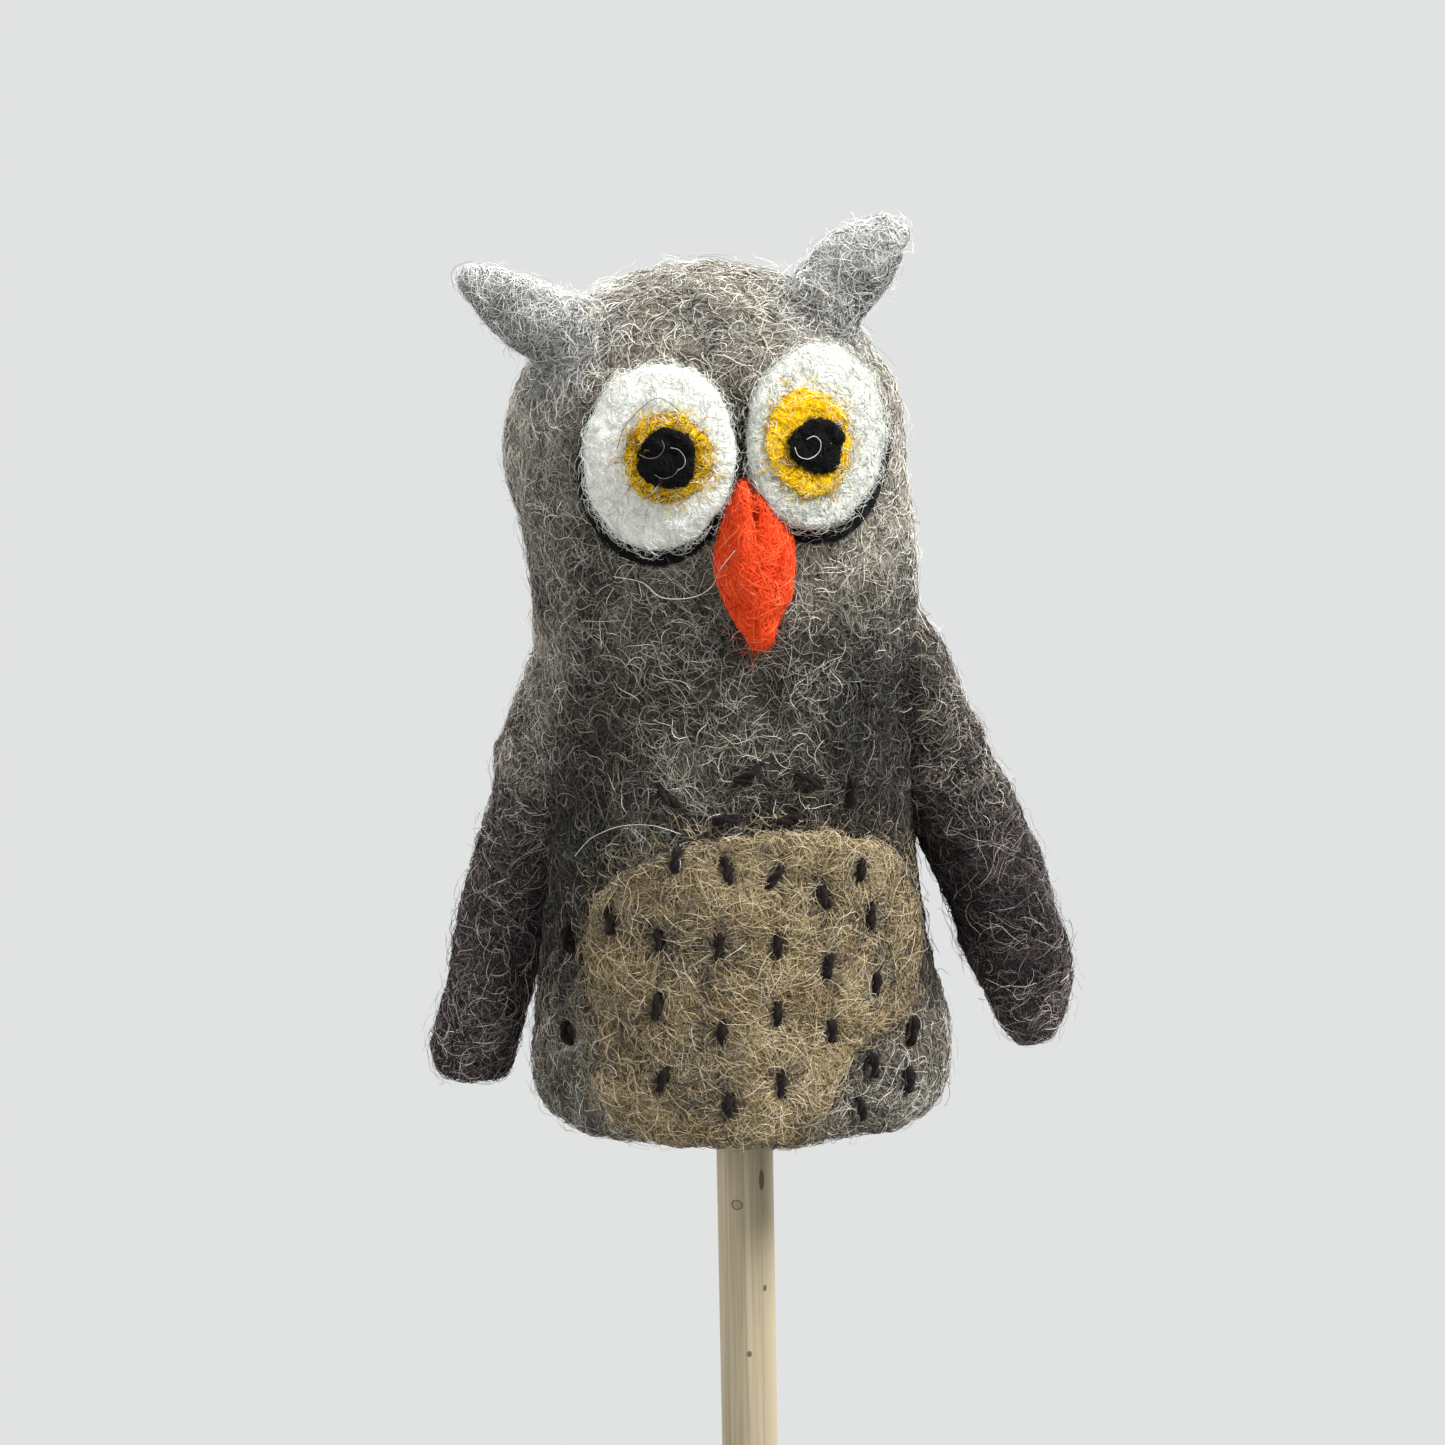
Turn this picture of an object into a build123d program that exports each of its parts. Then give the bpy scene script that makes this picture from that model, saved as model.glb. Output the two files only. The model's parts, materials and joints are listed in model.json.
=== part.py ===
"""Felted owl finger puppet on a round wooden display stick.

Frame: origin at the centre of the stick's lower end, +Z up the stick, the owl faces -Y, and +X is
the owl's own left. "left" and "right" are always the owl's own. Millimetres.
"""

from build123d import *
import math
import os

# Stick
STICK_RADIUS = 3.175  # quarter-inch dowel
STICK_EXPOSED = 66.0  # lower end to the underside of the hem
TIP_GAP = 0.4  # between the stick's rounded tip and the wool above it

# Felt body: one tapering, slightly leaning tube with a domed top
HEM = STICK_EXPOSED  # height of the hem's underside
WALL = 5.0  # felt wall
# (height above the hem, sideways lean of the centre, half width, half depth)
TUBE_SECTIONS = [
    (0.0, -0.2, 21.2, 17.2),
    (2.5, -0.2, 22.5, 18.3),
    (7.0, -0.1, 22.8, 18.5),
    (16.0, -0.7, 21.5, 17.9),
    (30.0, -0.9, 19.9, 17.2),
    (44.0, -1.0, 20.1, 17.2),
    (56.0, -1.1, 20.4, 17.4),
    (66.0, -2.0, 20.7, 17.8),
    (73.0, -2.9, 20.9, 18.0),
]
DOME_HEIGHT = 18.3  # rise of the crown above the last tube section

# Neck: the felt bends here. The two halves meet on an ellipsoid turned about the nod axis
NECK_PIVOT = (-1.0, 0.0, HEM + 42.5)
NECK_SPLIT_X = 22.6  # ellipsoid half width along the nod axis
NECK_SPLIT_R = 19.3  # ellipsoid radius about the nod axis
NECK_GAP = 0.4

# Shoulders and wings: (outward, height above the hem, half width, half depth, forward)
ROOT_GAP = 0.4
WING_CLEARANCE = 0.45
WING_ROOT_HALF_DEPTH = 4.6
WINGS = {
    "left": {
        "side": 1,
        "root": (19.3, HEM + 43.0),
        "root_radius": 5.0,
        "stations": [
            (20.6, 40.0, 5.0, 4.6),
            (23.2, 35.0, 5.0, 4.8),
            (26.0, 29.0, 5.1, 4.8),
            (29.1, 21.0, 5.3, 4.7),
            (31.0, 15.0, 4.9, 4.4),
            (32.2, 9.6, 3.4, 3.5),
            (32.3, 6.2, 1.6, 1.8),
        ],
    },
    "right": {
        "side": -1,
        "root": (20.3, HEM + 43.0),
        "root_radius": 3.6,
        "stations": [
            (20.8, 40.0, 4.1, 4.6),
            (22.4, 33.8, 4.4, 4.9),
            (24.3, 26.5, 4.6, 4.7),
            (25.9, 20.5, 4.6, 4.6),
            (27.8, 14.0, 4.3, 4.4),
            (29.6, 7.0, 4.2, 4.3),
            (30.3, 3.8, 3.5, 3.6),
        ],
    },
}

# Ears: root ball, then (x, y, height above the hem, half width, half depth) out to the tip
EARS = {
    "left": {
        "root": (9.0, -6.0, HEM + 86.3),
        "root_radius": 3.4,
        "stations": [
            (9.9, -6.2, 87.6, 3.7, 2.9),
            (12.0, -6.3, 90.2, 3.6, 2.8),
            (14.2, -6.2, 92.9, 3.1, 2.5),
            (15.8, -6.0, 94.9, 2.0, 1.6),
        ],
    },
    "right": {
        "root": (-15.8, -8.0, HEM + 83.6),
        "root_radius": 3.4,
        "stations": [
            (-17.4, -8.0, 84.6, 3.5, 2.9),
            (-21.2, -7.5, 86.8, 3.0, 2.5),
            (-24.8, -6.9, 89.0, 2.3, 1.9),
            (-27.2, -6.4, 90.5, 1.3, 1.2),
        ],
    },
}
EAR_CLEARANCE = 0.4
EAR_FLEX = 12.5  # degrees each way that the ear's roll clears the crown
EYE_TO_EAR_GAP = 0.5

# Eyes: felt layers stacked on the face. Each is (x, height above the hem, half width, half height, tilt)
RIM_TOP = 0.8
WHITE_TOP = 2.5
IRIS_TOP = 3.0
PUPIL_TOP = 3.6
EYES = {
    "left": {
        "rim": (8.9, 72.6, 7.2, 9.5, 6),
        "white": (8.3, 73.7, 6.6, 8.7, 6),
        "iris": (7.5, 73.3, 4.0, 5.2, -8),
        "pupil": (8.3, 72.9, 2.6, 2.6, 0),
    },
    "right": {
        "rim": (-7.7, 71.0, 8.0, 9.7, 6),
        "white": (-7.4, 72.1, 7.2, 8.9, 6),
        "iris": (-6.5, 72.1, 4.1, 4.1, 0),
        "pupil": (-6.6, 72.1, 3.0, 3.1, 0),
    },
}

# Beak: (x, height above the hem, half width, how far it stands off the face)
BEAK_SECTIONS = [
    (1.1, 69.6, 0.7, 2.9),
    (1.4, 67.0, 2.3, 3.8),
    (1.9, 63.4, 3.7, 4.1),
    (1.9, 59.4, 3.6, 3.7),
    (2.1, 55.4, 2.0, 2.5),
    (2.3, 52.8, 0.7, 1.2),
]
BEAK_CLEFT = 0.05  # gap between the two lobes

# Belly patch outline (x, height above the hem) and its thickness
PATCH_OUTLINE = [
    (-15.2, 7.5),
    (-15.4, 16.5),
    (-14.8, 25.6),
    (-10.4, 29.7),
    (-4.1, 32.4),
    (4.0, 33.0),
    (11.3, 32.2),
    (14.9, 30.4),
    (18.2, 24.6),
    (18.3, 16.5),
    (16.8, 12.8),
    (11.1, 10.3),
    (8.7, 5.9),
    (7.0, 2.2),
    (-2.0, 1.5),
    (-11.1, 1.8),
]
PATCH_TOP = 1.1

# Thread stitches (x, height above the hem, tilt from upright in degrees)
STITCH_LENGTH = 2.9
STITCH_WIDTH = 1.1
STITCH_TOP = 0.8  # how far a stitch stands out of the felt under it
PATCH_STITCHES = [
    (-6.7, 31.0, 10),
    (-1.4, 30.0, -12),
    (3.4, 29.2, 38),
    (12.4, 28.9, 5),
    (8.4, 26.6, -22),
    (13.4, 23.9, 0),
    (-13.6, 24.2, 0),
    (-8.5, 22.5, -4),
    (-2.4, 22.1, 3),
    (3.6, 22.0, -3),
    (8.8, 19.3, 6),
    (13.9, 16.8, 0),
    (-8.9, 15.7, 8),
    (-2.3, 13.3, 2),
    (3.5, 15.0, 0),
    (9.1, 12.6, -2),
    (-8.5, 8.1, 18),
    (-1.8, 5.5, 0),
    (3.7, 7.6, 0),
]
CHEST_STITCHES = [
    (-7.3, 37.3, -50),
    (0.9, 39.7, 60),
    (7.1, 38.9, -70),
    (11.6, 36.9, 10),
    (-1.4, 35.2, 82),
    (5.0, 35.0, 75),
]
SIDE_STITCHES = [
    (17.8, 10.6, 0),
    (13.4, 8.0, -6),
    (17.3, 5.6, 4),
    (12.0, 3.6, -8),
    (-18.3, 21.0, 0),
    (-18.6, 11.0, -5),
]


def tube_section(height, lean, half_width, half_depth, grow):
    """One oval section of the felt tube, grown outward by grow."""
    plane = Plane((lean, 0, HEM + height))
    return plane * Ellipse(half_width + grow, half_depth + grow)


def felt_solid(grow=0.0, drop=0.0):
    """The whole outer form of head and body, grown outward; drop lengthens it below the hem."""
    sections = [tube_section(*s, grow) for s in TUBE_SECTIONS]
    tube = loft(sections)
    height, lean, half_width, half_depth = TUBE_SECTIONS[-1]
    crown = scale(Sphere(1), (half_width + grow, half_depth + grow, DOME_HEIGHT + grow))
    crown = split(crown, Plane.XY, keep=Keep.TOP)
    solid = tube + Pos(lean, 0, HEM + height) * crown
    if drop:
        hem_section = tube_section(*TUBE_SECTIONS[0], grow)
        solid += extrude(hem_section, -drop)
    return solid


def neck_split(grow):
    """The ellipsoid, turned about the nod axis, on which head and body slide past each other."""
    radius = NECK_SPLIT_R + grow
    return Pos(*NECK_PIVOT) * scale(Sphere(1), (NECK_SPLIT_X + grow, radius, radius))


def above_pivot():
    """Everything higher than the neck pivot."""
    return Pos(0, 0, NECK_PIVOT[2]) * Box(200, 200, 200, align=(Align.CENTER, Align.CENTER, Align.MIN))


def limb(points, half_widths, half_depths):
    """A felt roll through points, oval across, with its width in the XZ plane."""
    sections = []
    for i, point in enumerate(points):
        before = Vector(*points[max(i - 1, 0)])
        after = Vector(*points[min(i + 1, len(points) - 1)])
        along = (after - before).normalized()
        across = Vector(0, 1, 0).cross(along).normalized()
        plane = Plane(origin=point, x_dir=across, z_dir=along)
        sections.append(plane * Ellipse(half_widths[i], half_depths[i]))
    return loft(sections)


def wing_root(side, grow):
    """The rolled top of a wing: a short drum about the shoulder's hinge axis."""
    wing = WINGS[side]
    x, z = wing["root"]
    drum = Cylinder(wing["root_radius"] + grow, 2 * (WING_ROOT_HALF_DEPTH + grow), rotation=(90, 0, 0))
    return Pos(wing["side"] * x, 0, z) * drum


def make_wing(side, body_room):
    """A wing: the root drum and a roll hanging from it, clear of the body."""
    wing = WINGS[side]
    points = [(wing["side"] * s[0], 0, HEM + s[1]) for s in wing["stations"]]
    roll = limb(points, [s[2] for s in wing["stations"]], [s[3] for s in wing["stations"]])
    return (roll - body_room) + wing_root(side, 0)


def make_ear(side, head_room):
    """An ear: a root ball let into the crown and a tapering roll, clear of the head as it flexes."""
    ear = EARS[side]
    points = [(s[0], s[1], HEM + s[2]) for s in ear["stations"]]
    roll = limb(points, [s[3] for s in ear["stations"]], [s[4] for s in ear["stations"]])
    root = Pos(*ear["root"])
    for angle in (-EAR_FLEX, 0, EAR_FLEX):
        roll -= root * Rot(0, angle, 0) * root.inverse() * head_room
    return largest(roll) + root * Sphere(ear["root_radius"])


def face_column(x, height, half_width, half_height, tilt):
    """An oval bar that runs through the face from the front."""
    plane = Plane(origin=(x, -40, HEM + height), x_dir=(1, 0, 0), z_dir=(0, 1, 0))
    return extrude(plane * Rot(0, 0, tilt) * Ellipse(half_width, half_height), 40)


def make_beak(felt, whites):
    """The beak's two lobes, lying on the face between the eyes."""
    sections = []
    for x, height, half_width, stand_off in BEAK_SECTIONS:
        plane = Plane((x, -17.0, HEM + height))
        sections.append(plane * Ellipse(half_width, stand_off))
    body = loft(sections) - felt
    for white in whites:
        body -= white
    top = BEAK_SECTIONS[0]
    tip = BEAK_SECTIONS[-1]
    lean = math.degrees(math.atan2(tip[0] - top[0], top[1] - tip[1]))
    middle = ((top[0] + tip[0]) / 2, 0, HEM + (top[1] + tip[1]) / 2)
    cut = Pos(*middle) * Rot(0, -lean, 0)
    halves = {}
    for side, sign in (("left", 1), ("right", -1)):
        block = cut * Pos(sign * (10 + BEAK_CLEFT / 2), 0, 0) * Box(20, 60, 60)
        halves[side] = largest(body & block)
    return halves


def largest(shape):
    """The biggest solid of a shape, without the crumbs a cut can leave."""
    return max(shape.solids(), key=lambda s: s.volume)


def make_patch(felt, patch_skin):
    """The pale belly patch, felted on the front of the body."""
    plane = Plane(origin=(0, -40, HEM), x_dir=(1, 0, 0), z_dir=(0, 1, 0))
    outline = Spline(*[(x, -z) for x, z in PATCH_OUTLINE], periodic=True)
    column = extrude(plane * make_face(outline), 38)
    return largest((column & patch_skin) - felt)


def make_stitches(places, under, over):
    """Short thread stitches: rounded bars between the felt under them and a skin just above it."""
    stitches = []
    for x, height, tilt in places:
        plane = Plane(origin=(x, -40, HEM + height), x_dir=(1, 0, 0), z_dir=(0, 1, 0))
        bar = plane * Rot(0, 0, 90 + tilt) * SlotOverall(STITCH_LENGTH, STITCH_WIDTH)
        stitches.append(largest((extrude(bar, 38) & over) - under))
    return Compound(stitches)


def make_stick(length):
    """The display stick: a round dowel with a flat lower end and a rounded upper tip."""
    shaft_length = length - STICK_RADIUS
    shaft = Cylinder(STICK_RADIUS, shaft_length, align=(Align.CENTER, Align.CENTER, Align.MIN))
    return shaft + Pos(0, 0, shaft_length) * Sphere(STICK_RADIUS)


def main():
    felt = felt_solid()
    hollow = felt_solid(-WALL, drop=WALL)
    lower_half = neck_split(-NECK_GAP / 2)
    upper_half = neck_split(NECK_GAP / 2)
    above = above_pivot()

    parts = {}
    # the pocket ends on the neck ellipsoid, and the stick's tip stops just short of it
    tip_x = -NECK_PIVOT[0] + STICK_RADIUS
    reach = NECK_SPLIT_R * math.sqrt(1 - (tip_x / NECK_SPLIT_X) ** 2)
    parts["display_stick"] = make_stick(NECK_PIVOT[2] + reach - TIP_GAP)

    shell = felt - hollow
    body = (shell - above) + (shell & above & lower_half)
    head = (felt & above) - upper_half
    parts["head_stuffing"] = largest(head & hollow)
    head = head - hollow

    body_room = felt_solid(WING_CLEARANCE, drop=5)
    for side in WINGS:
        parts["wing_" + side] = make_wing(side, body_room)
        body -= wing_root(side, ROOT_GAP)
    head_room = felt_solid(EAR_CLEARANCE)
    for side, ear in EARS.items():
        parts["ear_" + side] = make_ear(side, head_room)
        head -= Pos(*ear["root"]) * Sphere(ear["root_radius"] + EAR_CLEARANCE)
    parts["body_shell"] = largest(body)
    parts["head_shell"] = largest(head)

    layers = [("rim", 0.0, RIM_TOP), ("white", RIM_TOP, WHITE_TOP), ("iris", WHITE_TOP, IRIS_TOP),
              ("pupil", IRIS_TOP, PUPIL_TOP)]
    skins = {top: felt_solid(top) for _, _, top in layers}
    skins[0.0] = felt
    for side, eye in EYES.items():
        ear_room = Pos(*EARS[side]["root"]) * Sphere(EARS[side]["root_radius"] + EYE_TO_EAR_GAP)
        for layer, low, high in layers:
            disc = (face_column(*eye[layer]) & skins[high]) - skins[low] - ear_room
            parts[f"eye_{layer}_{side}"] = largest(disc)

    eye_parts = [parts[f"eye_{layer}_{side}"] for side in EYES for layer in ("rim", "white")]
    for side, lobe in make_beak(felt, eye_parts).items():
        parts["beak_lobe_" + side] = lobe

    patch_skin = felt_solid(PATCH_TOP)
    parts["belly_patch"] = make_patch(felt, patch_skin)
    over_patch = felt_solid(PATCH_TOP + STITCH_TOP)
    over_felt = felt_solid(STITCH_TOP)
    parts["patch_stitches"] = make_stitches(PATCH_STITCHES, patch_skin, over_patch)
    parts["chest_stitches"] = make_stitches(CHEST_STITCHES, felt, over_felt)
    parts["side_stitches"] = make_stitches(SIDE_STITCHES, felt, over_felt)

    os.makedirs("parts", exist_ok=True)
    for name, shape in parts.items():
        export_step(shape, f"parts/{name}.step")


main()
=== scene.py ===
"""Looks of the felted owl finger puppet: wool skins with mesh fibres, felt eyes, a roving beak and wood.

Metres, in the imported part's frame: origin at the stick's lower end, +Z up, the owl faces -Y.
"left" is the owl's own left, at +X.
"""

import json
import math

import bmesh
import bpy
import numpy as np
from mathutils import Matrix, Vector, noise
from mathutils.bvhtree import BVHTree


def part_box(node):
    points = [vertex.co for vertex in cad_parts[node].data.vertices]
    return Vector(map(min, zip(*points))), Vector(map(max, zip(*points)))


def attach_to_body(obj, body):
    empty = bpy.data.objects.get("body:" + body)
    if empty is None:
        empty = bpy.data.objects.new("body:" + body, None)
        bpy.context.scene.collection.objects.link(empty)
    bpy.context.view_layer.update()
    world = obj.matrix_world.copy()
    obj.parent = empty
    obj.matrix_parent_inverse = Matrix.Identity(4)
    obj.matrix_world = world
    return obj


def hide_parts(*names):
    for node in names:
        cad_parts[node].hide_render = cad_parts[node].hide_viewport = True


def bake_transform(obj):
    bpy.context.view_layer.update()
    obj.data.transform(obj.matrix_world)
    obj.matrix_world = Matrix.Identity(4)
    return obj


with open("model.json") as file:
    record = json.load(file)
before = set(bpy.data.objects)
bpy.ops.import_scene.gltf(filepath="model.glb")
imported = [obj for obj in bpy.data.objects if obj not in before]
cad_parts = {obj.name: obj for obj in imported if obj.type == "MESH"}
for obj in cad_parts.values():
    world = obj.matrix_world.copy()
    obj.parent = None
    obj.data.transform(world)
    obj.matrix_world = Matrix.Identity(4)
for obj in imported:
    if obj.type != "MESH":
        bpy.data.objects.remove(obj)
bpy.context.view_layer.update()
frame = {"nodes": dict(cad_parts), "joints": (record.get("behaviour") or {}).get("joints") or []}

MM = 0.001
SIDES = ("left", "right")
JOINT_PLACES = {j["name"]: Vector(j["pos_m"]) for j in frame["joints"] if "pos_m" in j}
NECK = JOINT_PLACES["head_nod"]
HEM_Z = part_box("body_shell")[0].z
NECK_BEND = (NECK - Vector((0, 0, 7 * MM)), NECK + Vector((0, 0, 11.5 * MM)))
WING_BEND_REACH = 7  # mm, from a wing's joint to either end of the span given to bends
EAR_BEND_LENGTH = 5  # mm
FULL = 1.0  # share of the fibres that are laid
MOST_FACES = 190_000  # triangles in one fibre piece
FRONT = []  # the front skins, as they are made, for single loose fibres to lie on


# -------- colour


def linear(r, g, b):
    """An sRGB colour in 0 to 255 as a linear RGBA tuple."""
    out = []
    for value in (r, g, b):
        c = value / 255
        out.append(c / 12.92 if c <= 0.04045 else ((c + 0.055) / 1.055) ** 2.4)
    return (*out, 1.0)


# Wool shades from darkest to palest, for grey, wing, ear and the other wools
SHADES = {
    "grey": [(33, 29, 24), (72, 66, 57), (118, 111, 98), (165, 159, 146), (226, 221, 210)],
    "cool": [(66, 68, 64), (104, 108, 103), (146, 151, 146), (188, 193, 188)],
    "wing": [(17, 14, 14), (41, 33, 34), (73, 63, 63), (128, 117, 116), (202, 194, 190)],
    "ear": [(84, 82, 79), (124, 123, 120), (164, 164, 160), (204, 205, 202), (236, 237, 234)],
    "patch": [(74, 60, 40), (118, 101, 70), (156, 138, 102), (190, 173, 138), (220, 208, 180)],
    "white": [(178, 180, 171), (202, 204, 196), (220, 222, 215), (234, 236, 231)],
    "black": [(5, 5, 6), (12, 12, 14), (24, 25, 29), (52, 54, 60)],
    "yellow": [(150, 108, 10), (206, 160, 8), (240, 202, 14), (252, 226, 70)],
    "orange": [(184, 34, 8), (230, 68, 24), (248, 98, 50), (255, 160, 120)],
    "thread": [(18, 11, 11), (36, 24, 24), (62, 46, 44)],
}
# The matted felt under the fibres: its gaps, dark partly as painted shade between the fibres and partly as
# dark matted wool, its body and its ridges
GROUNDS = {
    "grey": [(10, 9, 7), (46, 42, 35), (112, 106, 95)],
    "wing": [(16, 12, 12), (42, 35, 35), (78, 69, 68)],
    "ear": [(66, 64, 62), (118, 117, 114), (168, 167, 163)],
    "patch": [(44, 35, 22), (98, 82, 56), (148, 130, 96)],
    "white": [(170, 172, 163), (206, 208, 200), (226, 228, 221)],
    "black": [(2, 2, 3), (8, 8, 10), (22, 23, 27)],
    "yellow": [(150, 108, 8), (214, 168, 8), (246, 208, 24)],
    "orange": [(150, 30, 10), (228, 72, 28), (250, 106, 54)],
    "stuffing": [(70, 64, 54), (140, 130, 114), (196, 186, 168)],
}
# Sheen of the coarser wools; the others have none
SOFT_SHEEN = {"grey": 0.12, "cool": 0.12, "wing": 0.08, "ear": 0.15, "patch": 0.1}
TONED_FELT_SHEEN = 0.08


def ground_of(family, dim=0):
    """The three ground colours of a wool, darker by dim steps out of 255."""
    return [linear(*(channel - dim for channel in shade)) for shade in GROUNDS[family]]


def fibre_materials(family):
    """One plain wool material per shade of a family, shared by every fibre piece that uses it."""
    made = []
    for i, shade in enumerate(SHADES[family]):
        name = f"fibre_{family}_{i}"
        material = bpy.data.materials.get(name)
        if material is None:
            material = bpy.data.materials.new(name)
            material.use_nodes = True
            shader = material.node_tree.nodes["Principled BSDF"]
            shader.inputs["Base Color"].default_value = linear(*shade)
            shader.inputs["Roughness"].default_value = 0.7
            shader.inputs["Specular IOR Level"].default_value = 0.15
            shader.inputs["Sheen Weight"].default_value = SOFT_SHEEN.get(family, 0.0)
            shader.inputs["Sheen Roughness"].default_value = 0.5
        made.append(material)
    return made


class Graph:
    """A short way to build a node material."""

    def __init__(self, name):
        self.material = bpy.data.materials.new(name)
        self.material.use_nodes = True
        self.nodes = self.material.node_tree.nodes
        self.links = self.material.node_tree.links
        self.shader = self.nodes["Principled BSDF"]
        self.place = self.nodes.new("ShaderNodeTexCoord").outputs["Object"]

    def set(self, **values):
        for name, value in values.items():
            self.shader.inputs[name.replace("_", " ")].default_value = value

    def mapped(self, scale):
        node = self.nodes.new("ShaderNodeMapping")
        node.inputs["Scale"].default_value = scale
        self.links.new(self.place, node.inputs["Vector"])
        return node.outputs["Vector"]

    def noise(self, scale, detail=4.0, roughness=0.6, vector=None, distortion=0.0):
        node = self.nodes.new("ShaderNodeTexNoise")
        node.inputs["Scale"].default_value = scale
        node.inputs["Detail"].default_value = detail
        node.inputs["Roughness"].default_value = roughness
        node.inputs["Distortion"].default_value = distortion
        self.links.new(vector or self.place, node.inputs["Vector"])
        return node.outputs["Fac"]

    def attribute(self, name):
        node = self.nodes.new("ShaderNodeAttribute")
        node.attribute_name = name
        return node.outputs["Fac"]

    def ramp(self, factor, stops):
        node = self.nodes.new("ShaderNodeValToRGB")
        while len(node.color_ramp.elements) < len(stops):
            node.color_ramp.elements.new(0.5)
        for element, (position, colour) in zip(node.color_ramp.elements, stops):
            element.position = position
            element.color = colour
        self.links.new(factor, node.inputs["Fac"])
        return node.outputs["Color"]

    def mix(self, factor, a, b):
        node = self.nodes.new("ShaderNodeMix")
        node.data_type = "RGBA"
        for socket, value in ((node.inputs[0], factor), (node.inputs[6], a), (node.inputs[7], b)):
            if isinstance(value, bpy.types.NodeSocket):
                self.links.new(value, socket)
            else:
                socket.default_value = value
        return node.outputs[2]

    def maths(self, operation, a, b=0.0, clamp=False):
        node = self.nodes.new("ShaderNodeMath")
        node.operation = operation
        node.use_clamp = clamp
        for socket, value in ((node.inputs[0], a), (node.inputs[1], b)):
            if isinstance(value, bpy.types.NodeSocket):
                self.links.new(value, socket)
            else:
                socket.default_value = value
        return node.outputs["Value"]

    def finish(self, colour, rough, height, distance):
        """Wires colour, roughness and bump into the shader and returns the material."""
        bump = self.nodes.new("ShaderNodeBump")
        bump.inputs["Strength"].default_value = 1.0
        bump.inputs["Distance"].default_value = distance
        self.links.new(height, bump.inputs["Height"])
        self.links.new(bump.outputs["Normal"], self.shader.inputs["Normal"])
        self.links.new(colour, self.shader.inputs["Base Color"])
        self.links.new(rough, self.shader.inputs["Roughness"])
        return self.material


FIBRE_STREAKS = 1400  # cells per metre across the streaks
MOTTLE = 190.0  # cells per metre


def felt_material(name, dark, mid, light, tone=None, sheen=0.0):
    """Matted wool: crossed fibre streaks over a mottled ground.

    tone names a vertex attribute that makes the wool darker or paler.
    """
    g = Graph(name)
    matted = []
    for i, stretch in enumerate(((1, 1, 0.22), (0.22, 1, 1), (1, 0.3, 0.55))):
        vector = g.mapped(tuple(s * FIBRE_STREAKS for s in stretch))
        matted.append(g.noise(1.0, 3.0, 0.55, vector, 1.2 + 0.4 * i))
    fibres = g.maths("MAXIMUM", g.maths("MAXIMUM", matted[0], matted[1]), matted[2])
    mottle = g.noise(MOTTLE, 5.0, 0.62)
    level = g.maths("ADD", g.maths("MULTIPLY", fibres, 0.75), g.maths("MULTIPLY", mottle, 0.45))
    if tone:
        level = g.maths("ADD", level, g.maths("MULTIPLY", g.maths("SUBTRACT", g.attribute(tone), 0.4), 0.8))
    # the low streaks, where the bump sinks, take the gap colour: painted shade over dark matted wool
    colour = g.ramp(level, [(0.42, dark), (0.68, mid), (0.95, light)])
    rough = g.maths("ADD", g.maths("MULTIPLY", fibres, -0.2), 1.0, clamp=True)
    g.set(Sheen_Weight=sheen, Sheen_Roughness=0.6, Specular_IOR_Level=0.12)
    return g.finish(colour, rough, fibres, 0.35 * MM)


# -------- meshes


def link(name, mesh):
    obj = bpy.data.objects.new(name, mesh)
    bpy.context.scene.collection.objects.link(obj)
    return obj


def node_mesh(*nodes):
    """A bmesh holding copies of these CAD nodes."""
    bm = bmesh.new()
    for node in nodes:
        bm.from_mesh(frame["nodes"][node].data)
    return bm


def add_blob(bm, centre, radii, tilt):
    """Adds an ellipsoid to bm; tilt turns it about Y."""
    place = Matrix.Translation(centre) @ Matrix.Rotation(tilt, 4, "Y") @ Matrix.Diagonal((*radii, 1))
    bmesh.ops.create_icosphere(bm, subdivisions=3, radius=1.0, matrix=place)


def remeshed(name, bm, voxel, smooth, grow=0.0):
    """The union of a bmesh's closed shells as an even, smoothed skin."""
    bmesh.ops.remove_doubles(bm, verts=bm.verts, dist=1e-6)
    if grow:
        bm.normal_update()
        for v in bm.verts:
            v.co += v.normal * grow
    mesh = bpy.data.meshes.new(name)
    bm.to_mesh(mesh)
    bm.free()
    obj = link(name, mesh)
    modifier = obj.modifiers.new("even", "REMESH")
    modifier.mode = "VOXEL"
    modifier.voxel_size = voxel
    soften = obj.modifiers.new("soften", "SMOOTH")
    soften.factor = 0.5
    soften.iterations = smooth
    evaluated = obj.evaluated_get(bpy.context.evaluated_depsgraph_get())
    final = bpy.data.meshes.new_from_object(evaluated)
    obj.modifiers.clear()
    old = obj.data
    obj.data = final
    bpy.data.meshes.remove(old)
    final.name = name
    final.shade_smooth()
    return obj


def points_of(mesh):
    co = np.empty(len(mesh.vertices) * 3)
    mesh.vertices.foreach_get("co", co)
    return co.reshape(-1, 3)


def normals_of(mesh):
    no = np.empty(len(mesh.vertices) * 3)
    mesh.vertices.foreach_get("normal", no)
    return no.reshape(-1, 3)


def move_points(obj, co):
    obj.data.vertices.foreach_set("co", co.ravel())
    obj.data.update()


def lumpy(obj, layers, offset=0.0):
    """Moves the skin along its normals by layers of smooth noise, each (cell size, height)."""
    co = points_of(obj.data)
    no = normals_of(obj.data)
    height = np.full(len(co), offset)
    for size, amount in layers:
        height += amount * np.array([noise.noise(Vector(p) / size) for p in co])
    move_points(obj, co + no * height[:, None])


def store(obj, name, values):
    """Keeps one number per vertex on the mesh for the material to read."""
    attribute = obj.data.attributes.new(name, "FLOAT", "POINT")
    attribute.data.foreach_set("value", np.asarray(values, np.float32))


# -------- wool fibres


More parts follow.
